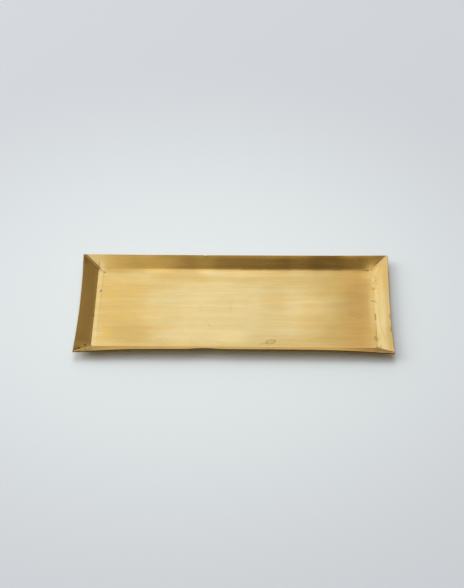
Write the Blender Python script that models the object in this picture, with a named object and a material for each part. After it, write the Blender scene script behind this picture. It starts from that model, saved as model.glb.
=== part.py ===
"""Shallow rectangular brass tray, folded from one sheet and brazed at its four corners.

Metres, with +Z up. The origin is on the table under the middle of the tray. +X runs along
the long walls, and +Y points to the rear one. The walls were folded by hand, so each is
steeper in its middle than at its corners, where the two walls that meet there flare out.
"""

import math
from collections import namedtuple

import bmesh
import bpy
from mathutils import Vector

MM = 0.001

# The sheet
SHEET_THICKNESS = 1.0 * MM
BEND_RADIUS = 1.2 * MM

# The rim, between the upper edges of its corner tips
RIM_LENGTH = 300.0 * MM
RIM_WIDTH = 120.0 * MM

# Where two walls meet: how far each runs out from its fold, and how high the tip rises
SIDE_CORNER_RUN = 12.4 * MM
END_CORNER_RUN = 15.2 * MM
CORNER_RISE = 8.0 * MM

# The same in the middle of each wall
REAR_RUN = 10.0 * MM
REAR_RISE = 10.1 * MM
FRONT_RUN = 10.2 * MM
FRONT_RISE = 9.9 * MM
LEFT_RUN = 13.7 * MM
LEFT_RISE = 9.9 * MM
RIGHT_RUN = 14.6 * MM
RIGHT_RISE = 8.5 * MM

# How far the flare of a corner reaches along a wall
SIDE_FLARE = 17.0 * MM
END_FLARE = 13.0 * MM

# The brazed seams
BRAZE_WIDTH = 1.0 * MM
BRAZE_CLEARANCE = 0.3 * MM
BRAZE_FILLET = 0.4 * MM
BRAZE_CROWN = 0.5 * MM

# Facets
SIDE_STATIONS = 28
END_STATIONS = 16
BEND_STEPS = 4
WALL_STEPS = 3
BRAZE_STEPS = 8
FILLET_STEPS = 4
SHARP_ANGLE = math.radians(35)

# Finishes
SHEET_COLOUR = (0.78, 0.60, 0.27, 1.0)
SHEET_ROUGHNESS = 0.3
BRAZE_COLOUR = (0.66, 0.47, 0.22, 1.0)
BRAZE_ROUGHNESS = 0.45

FLOOR_HALF_LENGTH = RIM_LENGTH / 2 - END_CORNER_RUN
FLOOR_HALF_WIDTH = RIM_WIDTH / 2 - SIDE_CORNER_RUN
SLOT_HALF_WIDTH = BRAZE_WIDTH / 2 + BRAZE_CLEARANCE
MITRE = Vector((END_CORNER_RUN, SIDE_CORNER_RUN, CORNER_RISE))

X = Vector((1, 0, 0))
Y = Vector((0, 1, 0))
Z = Vector((0, 0, 1))

Wall = namedtuple("Wall", "outward along reach half_fold half_rim corner_run run rise flare stations")


def side_wall(outward, run, rise):
    """A long wall, rear or front."""
    along = outward.cross(Z)
    return Wall(outward, along, FLOOR_HALF_WIDTH, FLOOR_HALF_LENGTH, RIM_LENGTH / 2,
                SIDE_CORNER_RUN, run, rise, SIDE_FLARE, SIDE_STATIONS)


def end_wall(outward, run, rise):
    """A short wall, left or right."""
    along = outward.cross(Z)
    return Wall(outward, along, FLOOR_HALF_LENGTH, FLOOR_HALF_WIDTH, RIM_WIDTH / 2,
                END_CORNER_RUN, run, rise, END_FLARE, END_STATIONS)


# Clockwise from above, so that each wall ends where the next one starts
WALLS = (
    side_wall(Y, REAR_RUN, REAR_RISE),
    end_wall(X, RIGHT_RUN, RIGHT_RISE),
    side_wall(-Y, FRONT_RUN, FRONT_RISE),
    end_wall(-X, LEFT_RUN, LEFT_RISE),
)


def make_material(name, colour, roughness):
    """A bare metal finish."""
    material = bpy.data.materials.new(name)
    material.use_nodes = True
    shader = material.node_tree.nodes["Principled BSDF"]
    shader.inputs["Base Color"].default_value = colour
    shader.inputs["Metallic"].default_value = 1.0
    shader.inputs["Roughness"].default_value = roughness
    return material


def flare_share(wall, place):
    """How much of the corner's flare a place along the rim has: 1 at a tip, 0 in the middle."""
    def fade(distance):
        steps = distance / wall.flare
        return (1 + steps) * math.exp(-steps)

    middle = fade(wall.half_rim)
    return (fade(wall.half_rim - abs(place)) - middle) / (1 - middle)


def slot_setback(wall):
    """How far along a wall its cut end stands back from the mitre line."""
    along_mitre = Vector([abs(value) for value in wall.along]).dot(MITRE) / MITRE.length
    return SLOT_HALF_WIDTH / math.sqrt(1 - along_mitre ** 2)


def wall_row(wall, share):
    """The points of one line up a wall, from the edge of the floor to the rim.

    share goes from -1 at the wall's start to 1 at its end.
    """
    setback = slot_setback(wall)
    fold_place = share * (wall.half_fold - setback)
    rim_place = share * (wall.half_rim - setback)
    flare = flare_share(wall, share * wall.half_rim)
    run = wall.run + (wall.corner_run - wall.run) * flare
    rise = wall.rise + (CORNER_RISE - wall.rise) * flare
    slope = math.atan2(rise, run)
    tangent = BEND_RADIUS * math.tan(slope / 2)

    def point(out, up):
        place = fold_place + (rim_place - fold_place) * max(out, 0) / run
        return wall.outward * (wall.reach + out) + wall.along * place + Z * (SHEET_THICKNESS + up)

    row = []
    for step in range(BEND_STEPS + 1):
        angle = slope * step / BEND_STEPS
        row.append(point(BEND_RADIUS * math.sin(angle) - tangent, BEND_RADIUS * (1 - math.cos(angle))))
    start_out = tangent * math.cos(slope)
    start_up = tangent * math.sin(slope)
    for step in range(1, WALL_STEPS + 1):
        part = step / WALL_STEPS
        row.append(point(start_out + (run - start_out) * part, start_up + (rise - start_up) * part))
    return row


def station_shares(count):
    """Places along a wall from -1 to 1, closer together towards the corners."""
    return [-math.cos(math.pi * step / count) for step in range(count + 1)]


def make_tray_sheet(material):
    """The folded blank: its upper face is drawn, and Solidify gives it the sheet's thickness."""
    sheet = bmesh.new()
    floor_edge = []
    for wall in WALLS:
        rows = []
        for share in station_shares(wall.stations):
            rows.append([sheet.verts.new(point) for point in wall_row(wall, share)])
        for row, next_row in zip(rows, rows[1:]):
            for low in range(len(row) - 1):
                sheet.faces.new((row[low], row[low + 1], next_row[low + 1], next_row[low]))
        floor_edge += [row[0] for row in rows]
    sheet.faces.new(floor_edge)
    bmesh.ops.recalc_face_normals(sheet, faces=sheet.faces)
    floor = max(sheet.faces, key=lambda face: face.calc_area())
    if floor.normal.z < 0:
        bmesh.ops.reverse_faces(sheet, faces=sheet.faces)

    blank = add_object("tray_sheet", sheet, material)
    thickness = blank.modifiers.new("Thickness", "SOLIDIFY")
    thickness.thickness = SHEET_THICKNESS
    thickness.offset = -1
    thickness.use_even_offset = True
    return blank


def curve_points(start, middle, end):
    """A quadratic curve from start to end, drawn towards middle."""
    points = []
    for step in range(FILLET_STEPS + 1):
        part = step / FILLET_STEPS
        rest = 1 - part
        points.append(start * rest ** 2 + middle * (2 * rest * part) + end * part ** 2)
    return points


def braze_section(side_x, side_y):
    """The outline of a seam, square to the mitre, seen from a point on the mitre line.

    Its sides follow the two cut ends of the sheet. Inside the tray it is a shallow fillet, and
    outside it stands a little proud of the corner.
    """
    mitre = Vector((side_x * MITRE.x, side_y * MITRE.y, MITRE.z)).normalized()
    side_normal = Vector((0, -side_y * CORNER_RISE, SIDE_CORNER_RUN)).normalized()
    end_normal = Vector((-side_x * CORNER_RISE, 0, END_CORNER_RUN)).normalized()
    to_side = mitre.cross(side_normal)
    to_side *= -math.copysign(1, to_side.x * side_x)
    to_end = mitre.cross(end_normal)
    to_end *= -math.copysign(1, to_end.y * side_y)
    inward = (side_normal + end_normal).normalized()

    side_top = to_side * BRAZE_WIDTH / 2
    end_top = to_end * BRAZE_WIDTH / 2
    side_bottom = side_top - side_normal * SHEET_THICKNESS
    end_bottom = end_top - end_normal * SHEET_THICKNESS
    outer = -inward * (SHEET_THICKNESS / inward.dot(side_normal) + BRAZE_CROWN)
    inside = curve_points(side_top, inward * BRAZE_FILLET, end_top)
    outside = curve_points(end_bottom, outer, side_bottom)
    return mitre, inside + outside


def make_braze(name, side_x, side_y, material):
    """One brazed seam, from the floor's corner to the tip of the rim."""
    mitre, outline = braze_section(side_x, side_y)
    length = MITRE.length - BRAZE_WIDTH / 2
    seam = bmesh.new()
    sections = []
    for step in range(BRAZE_STEPS + 1):
        centre = mitre * (length * step / BRAZE_STEPS)
        section = []
        for point in outline:
            place = centre + point
            # the underside is filed level with the floor's, so that the tray sits flat
            place.z = max(place.z, -SHEET_THICKNESS)
            section.append(seam.verts.new(place))
        sections.append(section)
    for section, following in zip(sections, sections[1:]):
        for index in range(len(outline)):
            after = (index + 1) % len(outline)
            seam.faces.new((section[index], section[after], following[after], following[index]))
    seam.faces.new(sections[0])
    seam.faces.new(sections[-1])
    bmesh.ops.recalc_face_normals(seam, faces=seam.faces)

    braze = add_object(name, seam, material)
    braze.location = (side_x * FLOOR_HALF_LENGTH, side_y * FLOOR_HALF_WIDTH, SHEET_THICKNESS)
    return braze


def add_object(name, shape, material):
    """Turns a bmesh into an object with its material, shaded smooth between sharp edges."""
    mesh = bpy.data.meshes.new(name)
    shape.to_mesh(mesh)
    shape.free()
    mesh.shade_smooth()
    mesh.set_sharp_from_angle(angle=SHARP_ANGLE)
    mesh.materials.append(material)
    made = bpy.data.objects.new(name, mesh)
    bpy.context.scene.collection.objects.link(made)
    return made


def main():
    for old in list(bpy.data.objects):
        bpy.data.objects.remove(old)

    tray = bpy.data.objects.new("tray", None)
    bpy.context.scene.collection.objects.link(tray)

    brass = make_material("brass_sheet", SHEET_COLOUR, SHEET_ROUGHNESS)
    braze = make_material("corner_braze", BRAZE_COLOUR, BRAZE_ROUGHNESS)
    pieces = [
        make_tray_sheet(brass),
        make_braze("rear_left_braze", -1, 1, braze),
        make_braze("rear_right_braze", 1, 1, braze),
        make_braze("front_left_braze", -1, -1, braze),
        make_braze("front_right_braze", 1, -1, braze),
    ]
    for piece in pieces:
        piece.parent = tray


main()
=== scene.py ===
"""The looks of a shallow brass tray, folded from one brushed sheet and brazed at its corners.

The sheet and its four seams are drawn again at the part's own sizes, finely enough for rounded
folds, a hand-cut rim and filed brazing. Metres, with +Z up and the table at zero.
"""

import math
from collections import namedtuple
from functools import partialmethod

import bmesh
import bpy
import numpy as np
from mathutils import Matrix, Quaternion, Vector, noise


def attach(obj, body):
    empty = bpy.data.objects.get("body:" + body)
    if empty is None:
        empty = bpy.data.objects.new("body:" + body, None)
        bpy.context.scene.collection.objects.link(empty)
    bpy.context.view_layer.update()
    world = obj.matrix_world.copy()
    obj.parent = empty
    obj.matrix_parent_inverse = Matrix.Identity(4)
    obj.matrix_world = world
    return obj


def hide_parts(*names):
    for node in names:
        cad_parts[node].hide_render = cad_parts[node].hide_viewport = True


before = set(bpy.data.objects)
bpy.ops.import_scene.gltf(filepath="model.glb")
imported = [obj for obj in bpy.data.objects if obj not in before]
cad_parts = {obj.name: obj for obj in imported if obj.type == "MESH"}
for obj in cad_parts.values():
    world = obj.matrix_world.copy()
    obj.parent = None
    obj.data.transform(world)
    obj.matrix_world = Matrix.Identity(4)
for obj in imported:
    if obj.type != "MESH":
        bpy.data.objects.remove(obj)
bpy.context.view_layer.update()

MM = 0.001

# The sheet, as in the part
THICKNESS = 1 * MM
BEND_RADIUS = 1.2 * MM
RIM_LENGTH = 300 * MM
RIM_WIDTH = 120 * MM
SIDE_CORNER_RUN = 12.4 * MM
END_CORNER_RUN = 15.2 * MM
CORNER_RISE = 8 * MM
REAR_RUN = 10 * MM
REAR_RISE = 10.1 * MM
FRONT_RUN = 10.2 * MM
FRONT_RISE = 9.9 * MM
LEFT_RUN = 13.7 * MM
LEFT_RISE = 9.9 * MM
RIGHT_RUN = 14.6 * MM
RIGHT_RISE = 8.5 * MM
SIDE_FLARE = 17 * MM
END_FLARE = 13 * MM
SLOT_HALF_WIDTH = 0.8 * MM

# The floor's edges lie at these distances from its middle, along X and along Y
FLOOR_X = RIM_LENGTH / 2 - END_CORNER_RUN
FLOOR_Y = RIM_WIDTH / 2 - SIDE_CORNER_RUN
MITRE = Vector((END_CORNER_RUN, SIDE_CORNER_RUN, CORNER_RISE))

# How finely the sheet is drawn
LENGTH_STEPS = 190
WIDTH_STEPS = 84
BEND_STEPS = 5
WALL_STEPS = 11
CROWDING_SHARE = 0.6
EDGE_ROUNDING = 0.12 * MM
EDGE_SEGMENTS = 2
EDGE_ANGLE = math.radians(60)

# What hand work left in the sheet, whose four tips stay in place
TIP_REACH_LENGTH = 30 * MM
TIP_REACH_WIDTH = 25 * MM
TIP_STILL = 3 * MM
HUMP_HEIGHT = 0.2 * MM
HUMP_START, HUMP_TOP, HUMP_END = 35 * MM, 82 * MM, 122 * MM
RIGHT_LIFT = 0.2 * MM
RIGHT_LIFT_START = 123 * MM
RIGHT_LIFT_CURVE = 1.5
FLOOR_WAVE = 0.1 * MM
FLOOR_WAVE_LENGTH = 55 * MM
RIM_WAVE = 0.16 * MM
RIM_WAVE_LENGTH = 32 * MM
SOFT_FOLD_LIFT = 0.35 * MM
SOFT_FOLD_WIDTH = 3.2 * MM
SOFT_FOLD_START = 4 * MM
SOFT_FOLD_LENGTH = 15 * MM
RIGHT_FOLD_SHIFT = 0.8 * MM
RIGHT_FOLD_EASE = 8 * MM
RIM_ROLL_FROM = 7.8 * MM
RIM_ROLL_HEIGHT = 3.3 * MM
RIM_ROLL_OUTWARD = 0.28 * MM
RIM_ROLL_DOWNWARD = 0.26 * MM
# How strongly the rim rolls at places along it, which are in millimetres
RIM_ROLL_PLACES = (-70, 25, 62, 92, 112, 134, 147)
RIM_ROLL_SHARES = (0, 0.5, 0.9, 0.65, 2, 2.5, 0)
LEFT_BOW = 0.75 * MM
RIGHT_BOW = 0.95 * MM
BOW_CURVE = 3
DENT_PLACE = -27 * MM
DENT_REACH = 20 * MM
DENT_INWARD = 0.9 * MM
DENT_UPWARD = 0.2 * MM
NICK_FOOT = 0.6
NICK_DROP = 0.6
# Nicks in the rim, in millimetres: x, y, reach, depth
NICKS = (
    (-29.4, 57.8, 1.8, 0.35),
    (148.4, -17.9, 2.2, 0.3),
    (148.6, -32.6, 2.6, 0.3),
    (149, 6.5, 2, 0.18),
    (96, 58, 2.2, 0.15),
)

# Heat stains along the mitres: the corner's signs in x and y, start and end as shares of the
# mitre, both sides in millimetres from it, positive on the long wall, and strength
STAINS = (
    (-1, 1, -0.1, 1, -1.3, -0.6, 0.3),
    (-1, 1, 0.55, 1.1, -5, 0.3, 0.55),
    (-1, 1, -0.15, 0.15, -1.5, 0.8, 0.6),
    (1, 1, 0.3, 1.1, 0.3, 2.6, 1),
    (1, 1, 0.5, 1.1, 0.5, 8.5, 0.55),
    (-1, -1, 0.6, 1.1, -2.5, 1.5, 0.7),
)

# The seams. Each has a wide filed cap on one wall and a narrow open edge on the other.
SEAM_STEPS = 40
SEAM_CURVE_STEPS = 8
SEAM_WIDE = 2.4 * MM
SEAM_MEDIUM = 1.5 * MM
SEAM_NARROW = 0.66 * MM
SEAM_WEB = 0.7 * MM
SEAM_BEAD = 1.1 * MM
SEAM_PROUD = 0.07 * MM
SEAM_SUNK = 0.03 * MM
SEAM_FILLET = 0.25 * MM
SEAM_FULL_FILLET = 0.55 * MM
SEAM_CROWN = 0.15 * MM
SEAM_FOOT = 0.9 * MM
SEAM_WAVE = 0.15
SEAM_WAVE_LENGTH = 2.5 * MM
SEAM_WEB_INSET = 0.15
SEAM_TIP_START = 0.96
SEAM_TIP_LOSS = 0.3
SEAM_FOOT_END = 0.12
SEAM_FOOT_SHARE = 0.3
SEAM_SHARP_ANGLE = math.radians(50)

# Camera
SENSOR_LONG_SIDE = 36
LENS = 83.72
CAMERA_TARGET = Vector((-2.66, 16.57, 1)) * MM
CAMERA_DISTANCE = 1328.4 * MM
CAMERA_PITCH = math.radians(50.69)
CAMERA_YAW = math.radians(1.95)
CAMERA_ROLL = math.radians(-1.21)
CAMERA_NEAR = 0.05

# Studio
TABLE_SIZE = 9
TABLE_DROP = 0.1 * MM
TABLE_ROUGHNESS = 0.85
# A painted pool of light on the table: its colour is lighter around this centre
TABLE_LIGHT_CENTRE = (-0.035, 0, 0)
TABLE_LIGHT_SHAPE = (1, 1.25, 0)
TABLE_LIGHT_REACH = (0.06, 0.46)
SOFTBOX_SIZE = 2.4
SOFTBOX_DISTANCE = 4
# Each softbox: watts, degrees to the right of the rear, degrees up
SOFTBOXES = ((54, -3, 58), (54.6, -80, 35))

X = Vector((1, 0, 0))
Y = Vector((0, 1, 0))
Z = Vector((0, 0, 1))

Wall = namedtuple("Wall", "outward run rise reach half_fold half_rim corner_run flare")
LONG_WALL = (FLOOR_Y, FLOOR_X, RIM_LENGTH / 2, SIDE_CORNER_RUN, SIDE_FLARE)
SHORT_WALL = (FLOOR_X, FLOOR_Y, RIM_WIDTH / 2, END_CORNER_RUN, END_FLARE)
REAR = Wall(Y, REAR_RUN, REAR_RISE, *LONG_WALL)
FRONT = Wall(-Y, FRONT_RUN, FRONT_RISE, *LONG_WALL)
LEFT = Wall(-X, LEFT_RUN, LEFT_RISE, *SHORT_WALL)
RIGHT = Wall(X, RIGHT_RUN, RIGHT_RISE, *SHORT_WALL)


# Shape of the sheet


def flare_share(wall, place):
    """How much of the corner's flare a place along the rim has: 1 at a tip, 0 in the middle."""
    def fade(distance):
        steps = distance / wall.flare
        return (1 + steps) * math.exp(-steps)

    middle = fade(wall.half_rim)
    return (fade(wall.half_rim - abs(place)) - middle) / (1 - middle)


def slot_setback(wall):
    """How far along a wall its cut end stands back from the mitre line."""
    along = wall.outward.cross(Z)
    along_mitre = Vector([abs(value) for value in along]).dot(MITRE) / MITRE.length
    return SLOT_HALF_WIDTH / math.sqrt(1 - along_mitre ** 2)


def wall_row(wall, share):
    """The points of one line up a wall, from the edge of the floor to the rim."""
    along = Vector([abs(value) for value in wall.outward.cross(Z)])
    setback = slot_setback(wall)
    fold_place = share * (wall.half_fold - setback)
    rim_place = share * (wall.half_rim - setback)
    flare = flare_share(wall, share * wall.half_rim)
    run = wall.run + (wall.corner_run - wall.run) * flare
    rise = wall.rise + (CORNER_RISE - wall.rise) * flare
    slope = math.atan2(rise, run)
    tangent = BEND_RADIUS * math.tan(slope / 2)

    def point(out, up):
        place = fold_place + (rim_place - fold_place) * max(out, 0) / run
        return wall.outward * (wall.reach + out) + along * place + Z * (THICKNESS + up)

    row = []
    for step in range(BEND_STEPS + 1):
        angle = slope * step / BEND_STEPS
        row.append(point(BEND_RADIUS * math.sin(angle) - tangent, BEND_RADIUS * (1 - math.cos(angle))))
    start_out = tangent * math.cos(slope)
    start_up = tangent * math.sin(slope)
    for step in range(1, WALL_STEPS + 1):
        part = step / WALL_STEPS
        row.append(point(start_out + (run - start_out) * part, start_up + (rise - start_up) * part))
    return row


def graded_shares(count):
    """Places from -1 to 1, closer together towards both ends."""
    places = [2 * step / count - 1 for step in range(count + 1)]
    return [place + CROWDING_SHARE * (math.sin(math.pi * place / 2) - place) for place in places]


def draw_wall(points, faces, wall, shares, upwards):
    """Adds a wall, and gives back its points by the floor and its points at the rim."""
    rows = []
    for share in shares:
        row = wall_row(wall, share)
        rows.append(range(len(points), len(points) + len(row)))
        points += row
    for row, following in zip(rows, rows[1:]):
        for low in range(len(row) - 1):
            face = [row[low], following[low], following[low + 1], row[low + 1]]
            faces.append(face if upwards else face[::-1])
    return [row[0] for row in rows], [row[-1] for row in rows]


def floor_grid(points, rear, front, left, right):
    """The floor's points by column and row: the walls' own at its edges, None at its corners."""
    grid = []
    for i, column_at in enumerate(graded_shares(LENGTH_STEPS)):
        column = []
        for j, row_at in enumerate(graded_shares(WIDTH_STEPS)):
            at_side = j in (0, WIDTH_STEPS)
            at_end = i in (0, LENGTH_STEPS)
            if at_side and at_end:
                column.append(None)
            elif at_side:
                column.append((rear if j else front)[i])
            elif at_end:
                column.append((right if i else left)[j])
            else:
                x = points[front[i]].lerp(points[rear[i]], (row_at + 1) / 2).x
                y = points[left[j]].lerp(points[right[j]], (column_at + 1) / 2).y
                column.append(len(points))
                points.append(Vector((x, y, THICKNESS)))
        grid.append(column)
    return grid


def draw_floor(points, faces, rear, front, left, right):
    """Adds the floor between the walls' lowest points, with its corners cut off by the slots."""
    grid = floor_grid(points, rear, front, left, right)
    for i in range(LENGTH_STEPS):
        for j in range(WIDTH_STEPS):
            face = [grid[i][j], grid[i + 1][j], grid[i + 1][j + 1], grid[i][j + 1]]
            if None in face:
                missing = face.index(None)
                side_end = (rear if j else front)[-1 if i else 0]
                end_end = (right if i else left)[-1 if j else 0]
                pair = [end_end, side_end] if missing in (0, 2) else [side_end, end_end]
                face = face[:missing] + pair + face[missing + 1:]
            faces.append(face)


def draw_upper_face():
    """Points of the sheet's upper face, which of them are at the rim, and the faces."""
    columns_at = graded_shares(LENGTH_STEPS)
    rows_at = graded_shares(WIDTH_STEPS)
    points = []
    faces = []
    rear, rear_rim = draw_wall(points, faces, REAR, columns_at, True)
    front, front_rim = draw_wall(points, faces, FRONT, columns_at, False)
    left, left_rim = draw_wall(points, faces, LEFT, rows_at, True)
    right, right_rim = draw_wall(points, faces, RIGHT, rows_at, False)
    draw_floor(points, faces, rear, front, left, right)
    at_rim = np.zeros(len(points))
    at_rim[rear_rim + front_rim + left_rim + right_rim] = 1
    return np.array(points), at_rim, faces


def smooth_step(values, start, end):
    share = np.clip((values - start) / (end - start), 0, 1)
    return share * share * (3 - 2 * share)


def noise_at(points, length, seed):
    """Smooth noise from -1 to 1 at each point, about length from one wave to the next."""
    shift = Vector((seed * 7.3, seed * 3.1, seed * 5.7))
    return np.array([noise.noise(Vector(point) / length + shift) for point in points])


def on_side_wall(points):
    """Which points belong to the rear or front wall, not to the left or right one."""
    out_x = np.abs(points[:, 0]) - FLOOR_X
    out_y = np.abs(points[:, 1]) - FLOOR_Y
    return out_y > out_x * SIDE_CORNER_RUN / END_CORNER_RUN


def wall_share(points):
    """How far up a wall each point is: 0 on the floor, 1 at the height of the tips and above."""
    return np.clip((points[:, 2] - THICKNESS) / CORNER_RISE, 0, 1)


def from_tips(points):
    """0 at the four tips of the rim, and 1 away from them."""
    x, y, _ = np.abs(points).T
    near_end = smooth_step(x, RIM_LENGTH / 2 - TIP_REACH_LENGTH, RIM_LENGTH / 2 - TIP_STILL)
    near_side = smooth_step(y, RIM_WIDTH / 2 - TIP_REACH_WIDTH, RIM_WIDTH / 2 - TIP_STILL)
    return 1 - near_end * near_side


def floor_lift(points):
    """How far the floor and the folds stand above their ideal height."""
    x, y, _ = points.T

    # the floor rises in a low hump, falls, and turns up a little before the right fold
    hump = smooth_step(x, HUMP_START, HUMP_TOP) * (1 - smooth_step(x, HUMP_TOP, HUMP_END))
    turn_up = np.clip((x - RIGHT_LIFT_START) / (FLOOR_X - RIGHT_LIFT_START), 0, 1)
    waves = 0.5 + 0.5 * noise_at(points, FLOOR_WAVE_LENGTH, 1)
    lift = HUMP_HEIGHT * hump + RIGHT_LIFT * turn_up ** RIGHT_LIFT_CURVE
    lift += FLOOR_WAVE * waves * from_tips(points)

    # the rear fold is softer where it runs into the left corner
    from_end = FLOOR_X + x
    soft = np.exp(-((y - FLOOR_Y) / SOFT_FOLD_WIDTH) ** 2)
    soft *= smooth_step(from_end, 0, SOFT_FOLD_START)
    soft *= 1 - smooth_step(from_end, SOFT_FOLD_START, SOFT_FOLD_LENGTH)
    return lift * (1 - wall_share(points)) + SOFT_FOLD_LIFT * soft


def fold_shift(points):
    """How far the right fold and what is near it lie outwards of their place."""
    near_fold = np.clip(1 - np.abs(points[:, 0] - FLOOR_X) / END_CORNER_RUN, 0, 1)
    near_side = smooth_step(np.abs(points[:, 1]), FLOOR_Y - RIGHT_FOLD_EASE, FLOOR_Y)
    return RIGHT_FOLD_SHIFT * near_fold * (1 - near_side)


def wall_lean(points):
    """How far the walls lean in: the end walls bow between their tips, and all walls wave."""
    x, y, _ = points.T
    between_tips = np.maximum(1 - np.abs(y / (RIM_WIDTH / 2)) ** BOW_CURVE, 0)
    bow = np.where(x > 0, RIGHT_BOW, LEFT_BOW) * between_tips * ~on_side_wall(points)
    wave = RIM_WAVE * noise_at(points, RIM_WAVE_LENGTH, 2) * from_tips(points)
    return (bow + wave) * wall_share(points)


def rim_roll(points):
    """How strongly the top of the rear wall leans out beyond the rest of it."""
    x, y, z = points.T
    roll = np.clip((z - RIM_ROLL_FROM) / RIM_ROLL_HEIGHT, 0, 1) ** 2
    roll *= on_side_wall(points) * (y > 0)
    return roll * np.interp(x / MM, RIM_ROLL_PLACES, RIM_ROLL_SHARES)


def push_in(moved, points, depth):
    """Moves the points of the long walls inwards along Y, and all others inwards along X."""
    side = on_side_wall(points)
    moved[:, 0] -= np.where(side, 0, np.sign(points[:, 0]) * depth)
    moved[:, 1] -= np.where(side, np.sign(points[:, 1]) * depth, 0)


def hand_work(points):
    """Moves points of the ideal sheet to where the hammer, the folds and use left them."""
    moved = points.copy()
    x, y, _ = points.T
    share = wall_share(points)
    moved[:, 2] += floor_lift(points)
    moved[:, 0] += fold_shift(points)
    push_in(moved, points, wall_lean(points))
    roll = rim_roll(points)
    moved[:, 1] += RIM_ROLL_OUTWARD * roll
    moved[:, 2] -= RIM_ROLL_DOWNWARD * roll

    # a knock has pushed the front rim in
    reach = np.clip(1 - ((x - DENT_PLACE) / DENT_REACH) ** 2, 0, 1) ** 2
    dent = reach * share ** 2 * (y < -FLOOR_Y)
    moved[:, 1] += DENT_INWARD * dent
    moved[:, 2] += DENT_UPWARD * dent

    # small nicks in the rim
    for nick_x, nick_y, reach, depth in NICKS:
        distance = np.hypot(x - nick_x * MM, y - nick_y * MM) / (reach * MM)
        nick = np.clip(1 - distance ** 2, 0, 1) ** 2 * smooth_step(share, NICK_FOOT, 1) * depth * MM
        push_in(moved, points, nick)
        moved[:, 2] -= NICK_DROP * nick
    return moved


def store(mesh, name, values):
    """Keeps one number for each point, for the materials."""
    layer = mesh.attributes.new(name, "FLOAT", "POINT")
    layer.data.foreach_set("value", np.asarray(values, dtype=np.float32))


def store_brush_map(mesh, points):
    """A flat map of the folded sheet: u runs across the brush lines and v along them."""
    x, y, z = points.T
    up = z - THICKNESS
    side = on_side_wall(points)
    across = y + np.sign(y) * up * side
    lengthwise = x + np.sign(x) * up * ~side
    corners = np.empty(len(mesh.loops), dtype=np.int32)
    mesh.loops.foreach_get("vertex_index", corners)
    layer = mesh.uv_layers.new(name="brushing")
    layer.data.foreach_set("uv", np.stack([across[corners], lengthwise[corners]], axis=1).ravel())


def add_object(name, data):
    made = bpy.data.objects.new(name, data)
    made.rotation_mode = "QUATERNION"
    bpy.context.scene.collection.objects.link(made)
    return made


def add_piece(name, mesh, material, node):
    """Puts a mesh in the scene as the looks of one node of the part."""
    mesh.materials.append(material)
    piece = add_object(name, mesh)
    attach(piece, "root")
    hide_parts(node)
    return piece


def scorch(points):
    """How far brazing heat has browned the sheet by its corners, from 0 to 1."""
    x, y, _ = points.T
    out_x = np.abs(x) - FLOOR_X
    out_y = np.abs(y) - FLOOR_Y
    along = (out_x * MITRE.x + out_y * MITRE.y) / (MITRE.x ** 2 + MITRE.y ** 2)
    aside = (out_y * MITRE.x - out_x * MITRE.y) / math.hypot(MITRE.x, MITRE.y) / MM
    total = np.zeros(len(points))
    for side_x, side_y, low, high, aside_from, aside_to, strength in STAINS:
        here = (x * side_x > 0) & (y * side_y > 0)
        span = smooth_step(along, low - 0.12, low + 0.05) * (1 - smooth_step(along, high, high + 0.1))
        middle = (aside_from + aside_to) / 2
        half = (aside_to - aside_from) / 2
        band = np.clip(1.5 - np.abs(aside - middle) / half, 0, 1)
        total = np.maximum(total, here * span * band * strength)
    return total


def modify(piece, kind, **settings):
    made = piece.modifiers.new(kind.lower(), kind)
    for name, value in settings.items():
        setattr(made, name, value)


def make_sheet(material):
    """The folded sheet: its upper face is drawn, given thickness, and rounded at its edges."""
    points, at_rim, faces = draw_upper_face()
    mesh = bpy.data.meshes.new("brushed_sheet")
    mesh.from_pydata(hand_work(points).tolist(), [], faces)
    mesh.shade_smooth()
    store_brush_map(mesh, points)
    store(mesh, "scorch", scorch(points))
    store(mesh, "side_wall", wall_share(points) * on_side_wall(points))
    store(mesh, "end_wall", wall_share(points) * ~on_side_wall(points))
    store(mesh, "rim", at_rim)

    sheet = add_piece("brushed_sheet", mesh, material, "tray_sheet")
    modify(sheet, "SOLIDIFY", thickness=THICKNESS, offset=-1, use_even_offset=True)
    modify(sheet, "BEVEL", width=EDGE_ROUNDING, segments=EDGE_SEGMENTS, limit_method="ANGLE",
           angle_limit=EDGE_ANGLE, harden_normals=True)


# Shape of the seams


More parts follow.
